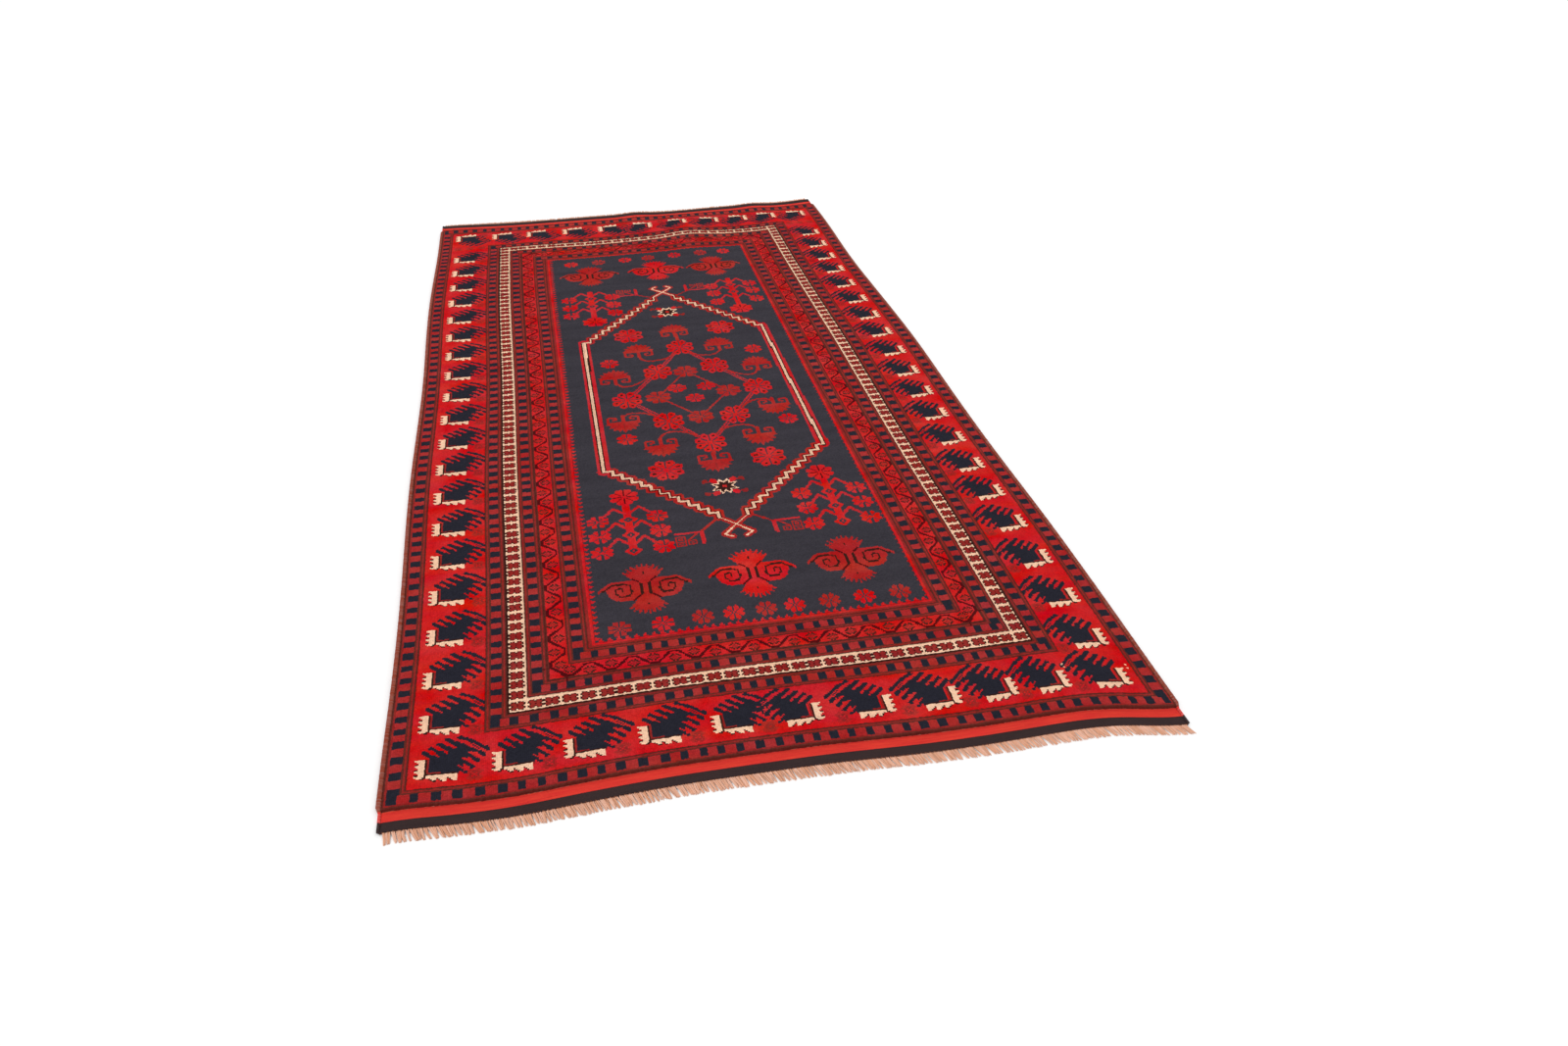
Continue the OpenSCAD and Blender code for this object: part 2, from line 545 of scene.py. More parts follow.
def dull_rosette(u, v, half_w=SMALL_W, half_l=SMALL_L):
    rosette(u, v, half_w, half_l, BRICK, NAVY)


def large_rosette(u, v, half_w=12, half_l=13.4):
    rosette(u, v, half_w, half_l, SCARLET, NAVY, OLIVE)


# Half outlines of the winged palmette, right of its axis
PALMETTE_CORE = [(0, 9), (7, 9.5), (3, 5.5), (2.2, 0), (2.6, -6), (8, -11), (0, -12)]
PALMETTE_WING = [
    (3.2, 4), (7, 8.8), (19.5, 8.8), (23, 6.8), (26, 3.6), (28, 1.4), (28.8, -1.6), (26.6, -0.4),
    (23.4, 1.6), (23.2, -2), (21.2, -7), (18.4, -10.4), (15.5, -11.6), (8.5, -11.6), (3.4, -7),
]
PALMETTE_HORN = [(25.6, 0.4), (22.4, 2.8), (19.4, 5.6), (12.5, 5.4)]
PALMETTE_SPIRAL = [
    (12.5, 5.4), (9, 3.6), (8.5, -3), (10, -6.4), (15.5, -7), (17.8, -3.6), (18.2, 0), (15.8, 2),
    (14, 0.8), (14.3, -1.5),
]


# Rays of a fan, and where its notches and slits start, as shares of its reach
SPIKES = 8
RAY_NOTCH = 0.78
SLIT_START = 0.8


def spread(u, v, base, reach_u, reach_v, opening, points_up, yarn):
    """A fan of spikes that opens away from (u, v): dark slits cut its rim into rays."""
    outline = [(base, 0)]
    start = 90 - opening
    for i in range(SPIKES * 2 + 1):
        angle = math.radians(start + opening * i / SPIKES)
        out = RAY_NOTCH if i % 2 else 1.0
        outline.append((reach_u * out * math.cos(angle), points_up * reach_v * out * math.sin(angle)))
    outline.append((-base, 0))
    shape(moved(outline, u, v), yarn)
    for i in range(SPIKES):
        angle = math.radians(start + 2 * opening * (i + 0.5) / SPIKES)
        tip = (reach_u * math.cos(angle), points_up * reach_v * math.sin(angle))
        thread(moved([(tip[0] * SLIT_START, tip[1] * SLIT_START), tip], u, v), 0.9, NAVY)


def palmette(u, v, body):
    """A large winged palmette, the same left and right of its axis but for the foot of one spiral."""
    spread(u, v + 4, 4, 17, 21, 50, 1, body)
    spread(u, v - 8, 4, 15.5, 19, 50, -1, body)
    for side in (-1, 1):
        shape(moved(PALMETTE_WING, u, v, side), body)
        shape(moved(PALMETTE_CORE, u, v, side), body)
        thread(moved([(2.6, 4.5), (7, 9.4)], u, v, side), 1.3, MAROON)
        thread(moved([(2.6, -6.5), (8, -11.6)], u, v, side), 1.3, MAROON)
        thread(moved([(2.6, 4.5), (2.6, -6.5)], u, v, side), 1.3, OLIVE)
        thread(moved(PALMETTE_HORN, u, v, side), 1.5, OLIVE)
        thread(moved(PALMETTE_SPIRAL, u, v, side), 1.3, OLIVE)
    block(u + 11.5, v - 6.6, u + 15.5, v - 5.4, OLIVE)
    for dot in (15, -16.5):
        block(u - 0.6, v + dot - 1, u + 0.6, v + dot + 1, OLIVE)


# Curled horn of the fan that stands on a stem, right of its axis and pointing up
FAN_HORN = [(11.2, 1), (11.2, -9.2), (5.8, -9.2), (5.6, -6.4), (7.4, -5.6)]


def fan(u, v, points_up=1):
    """A fan-shaped palmette with a curled horn on each side of its stem."""
    spread(u, v - points_up * 2, 11, 13.6, 16.5, 78, points_up, BRICK)
    block(u - 11.6, v - 2, u + 11.6, v + 2, BRICK)
    for side in (-1, 1):
        thread(moved(FAN_HORN, u, v, side, points_up), 1.7, BRICK)
        thread(moved([(3.5, 1), (7.5, 6)], u, v, side, points_up), 0.8, CRIMSON)
    thread(moved([(0, 0), (0, -12)], u, v, 1, points_up), 2.6, BRICK)
    thread(moved([(0, 2), (0, 9)], u, v, 1, points_up), 0.8, CRIMSON)


STAR = [
    (-3.4, 9.6), (0, 5.2), (3.4, 9.6), (3.6, 4), (8.6, 4), (5.4, 0), (8.6, -4), (3.6, -4.4),
    (3.4, -9.6), (0, -5.4), (-3.4, -9.6), (-3.6, -4.4), (-8.6, -4), (-5.4, 0), (-8.6, 4), (-3.6, 4),
]
STAR_LEAF_INNER = [(4.4, 5), (4.6, 9.5), (8.6, 11.6), (10.4, 8), (7, 5)]
STAR_LEAF_OUTER = [(10.8, 7), (11.4, 10), (13.6, 11), (15.8, 8), (15.6, 5), (12.4, 6.4)]


def star(u, v):
    """An ivory star with a scarlet heart and two leaves at each corner."""
    for side_u in (-1, 1):
        for side_v in (-1, 1):
            shape(moved(STAR_LEAF_INNER, u, v, side_u, side_v), SCARLET)
            shape(moved(STAR_LEAF_OUTER, u, v, side_u, side_v), CRIMSON)
    shape(moved(STAR, u, v), OLIVE)
    thread(moved(STAR + STAR[:1], u, v), 1.0, IVORY)
    rosette(u, v, 1.9, 2.2, SCARLET, SCARLET)


def branch(u, v, side):
    """A branch that leaves the trunk, rises to a peak and drops to a rosette beside it."""
    thread(moved([(1.5, 6), (8.5, 14), (15, 5.5)], u, v, side), 2.2, ROSE)
    thread(moved([(1.5, 6.5), (8.5, 14.5)], u, v, side), 1, SCARLET)
    bright_rosette(u + side * 19.6, v, 7.2, 7)


def trunk_diamond(u, v):
    """The open diamond where two branches meet the trunk."""
    shape(moved([(0, 5.4), (6.4, 0), (0, -5.4), (-6.4, 0)], u, v), SCARLET)
    shape(moved([(0, 3), (3.4, 0), (0, -3), (-3.4, 0)], u, v), NAVY)
    block(u - 0.5, v - 0.5, u + 0.5, v + 0.5, SCARLET)


def near_tree(u, crown_v, tiers):
    """A tree below the medallion, with its big flower at the top."""
    thread([(u, crown_v - 8), (u, tiers[-1] - 1)], 4.0, SCARLET)
    for v in tiers:
        branch(u, v, -1)
        branch(u, v, 1)
        trunk_diamond(u, v - 1)
    rosette(u, crown_v, 9.6, 10, SCARLET, MAROON)


def far_tree(u, base_v, tiers):
    """A tree above the medallion, which grows out of a wide flower."""
    thread([(u, base_v + 6), (u, tiers[0] + 15)], 4.6, SCARLET)
    for v in tiers:
        branch(u, v, -1)
        branch(u, v, 1)
    for v in tiers[:-1]:
        trunk_diamond(u, v)
    rosette(u, base_v, 11, 9.6, SCARLET, MAROON)


# Corners of the medallion's outline: it was knotted by eye, so no two sides are quite the same
MEDALLION_CORNERS = {
    (-1, -1): (-80.4, -115.5),
    (1, -1): (84.5, -110.0),
    (1, 1): (81.4, 104.4),
    (-1, 1): (-80.0, 99.8),
}
MEDALLION_SHOULDER = 10.0
MEDALLION_CROSSINGS = {-1: (0.5, -198.5), 1: (1.0, 195.5)}
STEPS = 12


def stair(side_u, side_v):
    """One sloping side of the medallion, from its corner in steps to the shoulder below the crossing."""
    corner_u, corner_v = MEDALLION_CORNERS[side_u, side_v]
    cross_u, cross_v = MEDALLION_CROSSINGS[side_v]
    step_u = (cross_u + side_u * MEDALLION_SHOULDER - corner_u) / STEPS
    step_v = (cross_v - side_v * MEDALLION_SHOULDER - corner_v) / STEPS
    points = []
    for i in range(STEPS):
        points.append((corner_u + i * step_u, corner_v + i * step_v))
        points.append((corner_u + (i + 1) * step_u, corner_v + i * step_v))
    points.append((corner_u + STEPS * step_u, corner_v + STEPS * step_v))
    return points


def medallion_outline():
    """The closed outline between the two crossings."""
    near = MEDALLION_CROSSINGS[-1]
    far = MEDALLION_CROSSINGS[1]
    return [near] + stair(1, -1)[::-1] + stair(1, 1) + [far] + stair(-1, 1)[::-1] + stair(-1, -1)


def medallion_edge():
    """The medallion's outline: ivory between two rose lines, crossed at both points."""
    ends = []
    for side_v, (cross_u, cross_v) in MEDALLION_CROSSINGS.items():
        for side_u in (-1, 1):
            shoulder = stair(side_u, side_v)[-1]
            hook = moved([(0, 0), (-9.6, 10), (-5, 13.6)], cross_u, cross_v, side_u, side_v)
            ends.append([shoulder] + hook)
    for line in ends:
        thread(line, 5.2, BRICK)
    sides = [[MEDALLION_CORNERS[side_u, side_v] for side_v in (-1, 1)] for side_u in (-1, 1)]
    for side_u in (-1, 1):
        for side_v in (-1, 1):
            thread(stair(side_u, side_v), 7.8, BRICK)
            thread(stair(side_u, side_v), 3.6, MAROON)
    for width, yarn in ((9.2, ROSE), (4.2, OLIVE), (2.1, IVORY)):
        for side in sides:
            thread(side, width, yarn)
    for side_u in (-1, 1):
        for side_v in (-1, 1):
            thread(stair(side_u, side_v), 1.8, IVORY)
    for line in ends:
        thread(line, 1.2, IVORY)


# The eight large flowers of the medallion, in turn round its middle
LATTICE = [(1, 74), (-24, 32), (-54, -12), (-26, -52), (1, -90), (27, -52), (54, -10), (25, 34)]


def stems():
    """Lines that tie the medallion's flowers into a lattice, and the bowed stems of its fans."""
    thread(LATTICE + LATTICE[:1], 3.6, ROSE)
    thread(LATTICE + LATTICE[:1], 1.0, NAVY)
    inner = [(-1, 28), (-29, -12), (0, -50), (29, -12)]
    thread(inner + inner[:1], 1.6, BRICK)
    bows = [
        ((-6, 62), (-12, 52), (-28, 53)), ((-28, 53), (-36, 55), (-37, 67)),
        ((8, 62), (14, 53), (27, 54)), ((27, 54), (35, 57), (35, 67)),
        ((-33, 24), (-44, 10), (-54, 11.5)), ((-54, 11.5), (-60, 14), (-60, 25)),
        ((33, 25), (42, 12), (53, 11.5)), ((53, 11.5), (60, 14), (61, 26)),
        ((-34, -44), (-42, -33), (-54, -34)), ((-54, -34), (-61, -36), (-61, -46)),
        ((35, -42), (42, -31), (54, -31)), ((54, -31), (61, -34), (61, -42)),
        ((-7, -80), (-14, -69), (-26, -68.5)), ((-26, -68.5), (-35, -70), (-36, -79)),
        ((7, -79), (15, -68), (29, -68.5)), ((29, -68.5), (39, -70), (40, -79)),
    ]
    for start, bend, end in bows:
        thread(curve(start, bend, end), 1.9, BRICK)
    thread([(1, 84), (1, 102)], 2.6, BRICK)
    thread([(1, -100), (1, -106)], 2.6, BRICK)


def medallion():
    """The medallion's flowers, fans and stars."""
    stems()
    for u, v in LATTICE:
        large_rosette(u, v)
    for u, v in ((-41, 106), (43, 107), (-37, -122), (40, -118)):
        large_rosette(u, v, 12.8, 13.2)
    for u, v in ((-1, 28), (-29, -12), (29, -12), (0, -50)):
        dull_rosette(u, v, 10.2, 9.6)
    for u, v in ((-12, 0), (12, -1), (0, -19)):
        bright_rosette(u, v, 7.6, 7)
    for u, v in ((-62, 55), (64, 58), (-60, -73), (67, -67)):
        bright_rosette(u, v, 7.2, 7.6)
    for u, v in ((0, 108), (-36, 74), (35, 73), (-60, 29), (61, 30)):
        fan(u, v)
    for u, v in ((-60, -48), (61, -44), (-36, -89), (40, -87), (0, -117)):
        fan(u, v, -1)
    star(1, -151)
    star(0, 150)


def field():
    """Everything on the dark field outside the medallion."""
    near_row = (-86, -61, -37, -18, 2, 20, 42, 64, 86)
    for i, u in enumerate(near_row):
        (bright_rosette if i % 2 else dull_rosette)(u, -289.5 - (1.5 if u < -50 else 0))
    far_row = (-80, -53, -26, -2, 26, 54, 79)
    for i, u in enumerate(far_row):
        (dull_rosette if i % 2 else bright_rosette)(u, 286 + 0.02 * u)
    for u, v, body in (
        (-67, -254, BRICK), (1, -252, SCARLET), (66, -250, BRICK),
        (-64, 251, BRICK), (2, 252, SCARLET), (62, 252, BRICK),
    ):
        palmette(u, v, body)
    near_tree(-70, -151, (-178, -195.5, -213.5))
    near_tree(72, -147, (-171.5, -189.5, -208.5))
    far_tree(-67, 141.5, (194.5, 176.5, 158.5))
    far_tree(70, 143.5, (199.5, 182.5, 162.5))
    stamp(HOOK_BOX, -42, -202)
    stamp(HOOK_BOX, 25, -199, -1)
    stamp(HOOK_BOX, -42, 208, 1, -1)
    stamp(HOOK_BOX, 24, 209, -1, -1)
    for tie in (
        [(-24, -202), (-12, -190)], [(26, -200), (14, -190)],
        [(-24, 194), (-11, 185)], [(26, 195), (13, 185)],
    ):
        thread(tie, 1.6, BRICK)


def draw_cartoon():
    """The whole pattern, from the outer edge inwards."""
    guard("outer_guard")
    main_border()
    guard("middle_guard")
    ivory_border()
    guard("inner_guard")
    vine()
    guard("field_guard")
    sawtooth()
    field()
    medallion_edge()
    medallion()
    # Stray ivory knots near the right side
    for u, v in ((161, -374), (161, -377), (160, -375), (198, -377), (198, -380)):
        block(u, v, u, v, IVORY)


draw_cartoon()


# ---- How the rug lies: every piece takes its place from drape(), so neighbours share their edges ----

# Bends in plan: middle across and along, breadth across and along, shift along (all in knots)
BENDS = (
    (-205, -411, 22, 60, 1.6), (-150, -411, 30, 60, -1.2), (-60, -411, 60, 80, 3.0),
    (10, -411, 40, 60, 1.5), (90, -411, 60, 70, -1.5), (214, -411, 36, 80, -9.0),
    (50, 352, 26, 55, 8.0), (150, 352, 18, 40, 3.0), (-55, 352, 40, 40, -2.0),
    (-214, 420, 60, 30, 6.0), (0, 424, 16, 26, 4.0), (50, 424, 30, 24, -3.0), (140, 424, 16, 26, 4.0),
    (214, 424, 22, 30, 4.0),
)
# Rows of the far borders, and how far each lies from where even knots would put it (in knots)
FAR_PACKING = ((300.5, 0.0), (351.5, -4.5), (363.5, -6.0), (400.5, -6.5), (411.5, -2.5), (425.0, 0.5))
# The pattern lies off the middle, its sides pull in, and it narrows to the far end (in knots)
X_SHIFT = 4.0
SIDE_PULL = 6.0
FAR_NARROWING = 3.0
# The right side dips in near the far end, both sides wave, and the inner borders lean (in knots)
RIGHT_DIP = 2.6
SIDE_WAVE = 0.9
LEFT_LEAN = 1.8
RIGHT_LEAN = 2.6
# The pattern lies a little towards the near end, and the near borders are knotted closer
Y_SHIFT = 2.0
NEAR_PACKED = 0.063
# Low ripples in height: half turns from the middle to the side and to the end, start, height in metres
RIPPLES = ((1.2, 2.1, 0.3, 0.0002), (2.7, -3.2, 1.9, 0.00025), (0.6, 6.3, 4.0, 0.0002))

# How far the bare far end stands off the floor, in metres, and over how many knots it rises
FAR_END_CURL = 0.001
CURL_L = 6


def drape(u, v):
    """Where the underside of a point of the pattern lies: x, y and height, in metres."""
    u = np.asarray(u, dtype=float)
    v = np.asarray(v, dtype=float)
    across = u / HALF_U
    along = v / HALF_V
    far_end = np.clip(along, 0, 1.1) ** 3
    x = u + X_SHIFT - SIDE_PULL * across ** 2 - FAR_NARROWING * far_end * across
    x = x - RIGHT_DIP * np.exp(-((v - 270) / 110) ** 2) * np.clip(across, 0, 1) ** 2
    x = x + SIDE_WAVE * np.sin(along * 8.3 + 0.7) * across ** 2
    x = x - LEFT_LEAN * np.exp(-((u + 112) / 38) ** 2)
    x = x + RIGHT_LEAN * np.exp(-((u - 108) / 36) ** 2) * np.clip(-1.6 * along, 0, 1)
    y = v - Y_SHIFT - NEAR_PACKED * np.minimum(v + FIELD_L / 2, 0)
    y = y + np.interp(v, *zip(*FAR_PACKING))
    for middle_u, middle_v, breadth_u, breadth_v, shift in BENDS:
        y = y + shift * np.exp(-((u - middle_u) / breadth_u) ** 2 - ((v - middle_v) / breadth_v) ** 2)
    height = np.zeros_like(x)
    for turns_u, turns_v, start, amount in RIPPLES:
        height = height + amount * (1 + np.sin(math.pi * (turns_u * across + turns_v * along) + start))
    curl = np.clip((v - HALF_V) / CURL_L, 0, 1)
    height = height + FAR_END_CURL * curl * curl * (3 - 2 * curl)
    return x * KNOT, y * KNOT, height


# ---- Materials ----

def linear(channel):
    """An sRGB channel from 0 to 255 as linear light."""
    c = channel / 255
    return c / 12.92 if c <= 0.04045 else ((c + 0.055) / 1.055) ** 2.4


def colour(rgb):
    """A colour socket's value from sRGB channels of 0 to 255."""
    return tuple(linear(c) for c in rgb) + (1.0,)


class Nodes:
    """A short way to write a node tree."""

    def __init__(self, name):
        self.material = bpy.data.materials.new(name)
        self.material.use_nodes = True
        self.tree = self.material.node_tree
        self.shader = self.tree.nodes["Principled BSDF"]

    def add(self, kind, **settings):
        node = self.tree.nodes.new(kind)
        for key, value in settings.items():
            setattr(node, key, value)
        return node

    def link(self, out, into):
        self.tree.links.new(out, into)

    def feed(self, socket, value):
        if isinstance(value, (int, float)):
            socket.default_value = value
        else:
            self.link(value, socket)

    def maths(self, operation, a, b=0.0, c=0.0):
        node = self.add("ShaderNodeMath", operation=operation)
        for socket, value in zip(node.inputs, (a, b, c)):
            self.feed(socket, value)
        return node.outputs[0]

    def weighed(self, base, *terms):
        """The base plus every source times its weight."""
        total = base
        for source, weight in terms:
            total = self.maths("MULTIPLY_ADD", source, weight, total)
        return total

    def vector(self, operation, a, b=None):
        node = self.add("ShaderNodeVectorMath", operation=operation)
        self.link(a, node.inputs[0])
        if b is not None:
            node.inputs[1].default_value = b
        return node.outputs[0]

    def noise(self, vector, scale, detail=2.0, roughness=0.5):
        node = self.add("ShaderNodeTexNoise")
        self.link(vector, node.inputs["Vector"])
        node.inputs["Scale"].default_value = scale
        node.inputs["Detail"].default_value = detail
        node.inputs["Roughness"].default_value = roughness
        return node.outputs["Fac"]

    def attribute(self, name):
        return self.add("ShaderNodeAttribute", attribute_name=name).outputs["Vector"]

    def place(self):
        return self.add("ShaderNodeTexCoord").outputs["Object"]

    def vary(self, base, value, hue, saturation):
        """The base colour with its brightness, hue and saturation driven by the given values."""
        node = self.add("ShaderNodeHueSaturation")
        node.inputs["Color"].default_value = base
        self.link(value, node.inputs["Value"])
        self.feed(node.inputs["Hue"], hue)
        self.feed(node.inputs["Saturation"], saturation)
        self.link(node.outputs[0], self.shader.inputs["Base Color"])

    def relief(self, height, strength, distance):
        node = self.add("ShaderNodeBump")
        node.inputs["Strength"].default_value = strength
        node.inputs["Distance"].default_value = distance
        self.link(height, node.inputs["Height"])
        self.link(node.outputs[0], self.shader.inputs["Normal"])

    def finish_wool(self, sheen, rough, tint):
        """Wool's soft shine: constant values on the shader's own sockets."""
        self.link(rough, self.shader.inputs["Roughness"])
        self.shader.inputs["Sheen Weight"].default_value = sheen
        self.shader.inputs["Sheen Roughness"].default_value = 0.45
        self.shader.inputs["Sheen Tint"].default_value = tint
        self.shader.inputs["Specular IOR Level"].default_value = 0.05


def pile_wool(name, rgb, streak):
    """Cut pile: each knot has its own tone, dye lots make bars, fibres break the surface, and painted
    shade darkens each knot towards its edges.
    """
    n = Nodes("wool_" + name)
    knots = n.attribute("knot")
    cell = n.vector("FLOOR", knots)
    lot = n.add("ShaderNodeTexWhiteNoise", noise_dimensions="2D")
    n.link(cell, lot.inputs["Vector"])
    bars = n.noise(n.vector("MULTIPLY", knots, (0.012, 0.085, 0.0)), 1.0, 3.0)
    patches = n.noise(n.vector("MULTIPLY", knots, (0.045, 0.045, 0.0)), 1.0, 2.0)
    fibre = n.noise(n.place(), 1100.0, 3.0, 0.7)
    from_middle = n.vector("SUBTRACT", n.vector("FRACTION", knots), (0.5, 0.5, 0.0))
    apart = n.add("ShaderNodeVectorMath", operation="LENGTH")
    n.link(n.vector("MULTIPLY", from_middle, (1.0, 1.15, 0.0)), apart.inputs[0])
    # Brighter at the middle of each knot and darker towards its edges: in the colour this is painted shade
    # between the knots, in the relief it is the tuft's height
    tuft_height_and_gap_shade = n.maths("SUBTRACT", 0.72, apart.outputs["Value"])
    value = n.weighed(
        0.53 - streak / 2,
        (lot.outputs["Value"], 0.22), (bars, streak), (patches, 0.10), (fibre, 0.42), (tuft_height_and_gap_shade, 0.34),
    )
    hue = n.weighed(0.493, (bars, 0.014))
    saturation = n.weighed(1.06, (patches, -0.12))
    n.vary(colour(rgb), value, hue, saturation)
    n.relief(n.maths("MULTIPLY_ADD", fibre, 0.9, tuft_height_and_gap_shade), 0.9, 0.0018)
    n.finish_wool(0.1, n.weighed(0.76, (fibre, 0.2)), colour(rgb))
    return n.material


def flat_weave(name, rgb, ribs):
    """Weft-faced weave: fine weft rows over the ribs of the warps."""
    n = Nodes("weave_" + name)
    knots = n.attribute("knot")
    rows = n.add("ShaderNodeTexWave", wave_type="BANDS", bands_direction="Y")
    n.link(knots, rows.inputs["Vector"])
    rows.inputs["Scale"].default_value = ribs
    rows.inputs["Distortion"].default_value = 1.2
    rows.inputs["Detail Scale"].default_value = 2.0
    streak = n.noise(n.vector("MULTIPLY", knots, (0.06, 1.3, 0.0)), 1.0, 3.0)
    patches = n.noise(n.vector("MULTIPLY", knots, (0.04, 0.12, 0.0)), 1.0, 2.0)
    fibre = n.noise(n.place(), 1600.0, 2.0, 0.6)
    value = n.weighed(0.55, (streak, 0.36), (patches, 0.26), (fibre, 0.16), (rows.outputs["Fac"], 0.10))
    hue = n.weighed(0.494, (streak, 0.012))
    n.vary(colour(rgb), value, hue, 1.0)
    n.relief(n.maths("MULTIPLY_ADD", fibre, 0.4, rows.outputs["Fac"]), 0.6, 0.0006)
    n.finish_wool(0.08, n.weighed(0.78, (fibre, 0.18)), colour(rgb))
    return n.material


def spun_yarn(name, rgb, plies, amount=0.3):
    """Spun yarn: plies wind round the strand, and its shade drifts along it."""
    n = Nodes("yarn_" + name)
    strand = n.attribute("strand")
    split = n.add("ShaderNodeSeparateXYZ")
    n.link(strand, split.inputs[0])
    winding = n.maths("MULTIPLY_ADD", split.outputs["X"], plies, split.outputs["Y"])
    ply = n.maths("SINE", n.maths("MULTIPLY", winding, 4 * math.pi))
    own = n.add("ShaderNodeTexWhiteNoise", noise_dimensions="1D")
    n.link(split.outputs["Z"], own.inputs["W"])
    drift = n.noise(n.place(), 60.0, 2.0)
    fibre = n.noise(n.place(), 1800.0, 2.0, 0.6)
    value = n.weighed(
        1.0 - amount, (own.outputs["Value"], amount * 0.7), (drift, amount), (fibre, 0.16), (ply, 0.04),
    )
    saturation = n.weighed(1.12, (own.outputs["Value"], -0.3))
    n.vary(colour(rgb), value, 0.5, saturation)
    n.relief(n.maths("MULTIPLY_ADD", ply, 0.2, fibre), 0.6, 0.0006)
    n.finish_wool(0.12, n.weighed(0.76, (fibre, 0.2)), colour(rgb))
    return n.material


# ---- Mesh helpers ----

def make_piece(name, points, faces, materials, yarns=None, smooth=None, knots=None, strands=None):
    """A mesh object from arrays, with its coordinates in knots or along its strands kept as attributes."""
    mesh = bpy.data.meshes.new(name)
    mesh.from_pydata(points, [], faces)
    for material in materials:
        mesh.materials.append(material)
    if yarns is not None:
        mesh.polygons.foreach_set("material_index", np.asarray(yarns, dtype=np.int32))
    flags = np.ones(len(mesh.polygons), dtype=bool) if smooth is None else smooth
    mesh.polygons.foreach_set("use_smooth", flags)
    for attribute, values in (("knot", knots), ("strand", strands)):
        if values is not None:
            layer = mesh.attributes.new(attribute, "FLOAT_VECTOR", "POINT")
            layer.data.foreach_set("vector", np.asarray(values, dtype=np.float32).ravel())
    mesh.update()
    piece = bpy.data.objects.new(name, mesh)
    bpy.context.scene.collection.objects.link(piece)
    return piece


def stand_for(piece, slot, *nodes):
    """Ride the piece on the rug's one body, in place of the CAD nodes."""
    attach(piece, "root")
    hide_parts(*nodes)
    return piece


# Edges of the knots, in knots from the middle
edge_u = np.arange(COLUMNS + 1) - HALF_U
edge_v = np.arange(ROWS + 1) - HALF_V
grid_u, grid_v = np.meshgrid(edge_u, edge_v)
grid_x, grid_y, grid_low = drape(grid_u, grid_v)
# How far a knot's corners wander from an even grid, in metres
KNOT_WANDER = 0.11 * KNOT
grid_x = grid_x + rng.normal(0.0, KNOT_WANDER, grid_u.shape)
grid_y = grid_y + rng.normal(0.0, KNOT_WANDER, grid_u.shape)
# Unevenness of the cut tufts, and how far the outermost ones sink, in metres
TUFT_UNEVEN = 0.00045
EDGE_ROUND = 0.0016
grid_uneven = rng.normal(0.0, TUFT_UNEVEN, grid_u.shape)
from_edge = np.minimum(HALF_U - np.abs(grid_u), HALF_V - np.abs(grid_v))
grid_round = EDGE_ROUND * np.clip(1 - from_edge / 2, 0, 1) ** 2
grid_top = grid_low + WEAVE_H + PILE_H + grid_uneven - grid_round


def boundary_quads(mask):
    """The sides of the pile round a region: pairs of grid corners, and the row and column of the knot."""
    padded = np.pad(mask, 1)
    here = padded[1:-1, 1:-1]
    width = COLUMNS + 1
    found = []
    for step_r, step_c, start, end in (
        (0, -1, (0, 0), (1, 0)), (0, 1, (1, 1), (0, 1)), (-1, 0, (0, 1), (0, 0)), (1, 0, (1, 0), (1, 1)),
    ):
        other = padded[1 + step_r:padded.shape[0] - 1 + step_r, 1 + step_c:padded.shape[1] - 1 + step_c]
        r, c = np.nonzero(here & ~other)
        a = (r + start[0]) * width + c + start[1]
        b = (r + end[0]) * width + c + end[1]
        found.append(np.stack([a, b, r, c], axis=1))
    return np.concatenate(found)


def pile_piece(name, mask, slot):
    """The cut pile of one region: a quad for every knot, and sides down to the ground weave."""
    width = COLUMNS + 1
    r, c = np.nonzero(mask)
    corner = r * width + c
    tops = np.stack([corner, corner + 1, corner + 1 + width, corner + width], axis=1)
    sides = boundary_quads(mask)
    total = grid_u.size
    walls = np.stack([sides[:, 0] + total, sides[:, 0], sides[:, 1], sides[:, 1] + total], axis=1)
    faces = np.concatenate([tops, walls])
    used, faces = np.unique(faces, return_inverse=True)
    faces = faces.reshape(-1, 4)
    flat = used % total
    is_low = used >= total
    z = np.where(is_low, grid_low.ravel()[flat] + WEAVE_H, grid_top.ravel()[flat])
    points = np.stack([grid_x.ravel()[flat], grid_y.ravel()[flat], z], axis=1)
    knots = np.stack([grid_u.ravel()[flat] + HALF_U, grid_v.ravel()[flat] + HALF_V, z / KNOT], axis=1)
    yarn_of_face = np.concatenate([cartoon[r, c], cartoon[sides[:, 2], sides[:, 3]]])
    in_use = sorted(set(yarn_of_face.tolist()))
    slot_of_yarn = np.zeros(len(YARNS), dtype=np.int32)
    slot_of_yarn[in_use] = np.arange(len(in_use))
    smooth = np.arange(len(faces)) < len(tops)
    materials = [wool[yarn] for yarn in in_use]
    yarns = slot_of_yarn[yarn_of_face]
    piece = make_piece(f"{name}_knots", points, faces, materials, yarns, smooth, knots)
    return stand_for(piece, slot, f"{name}_pile")


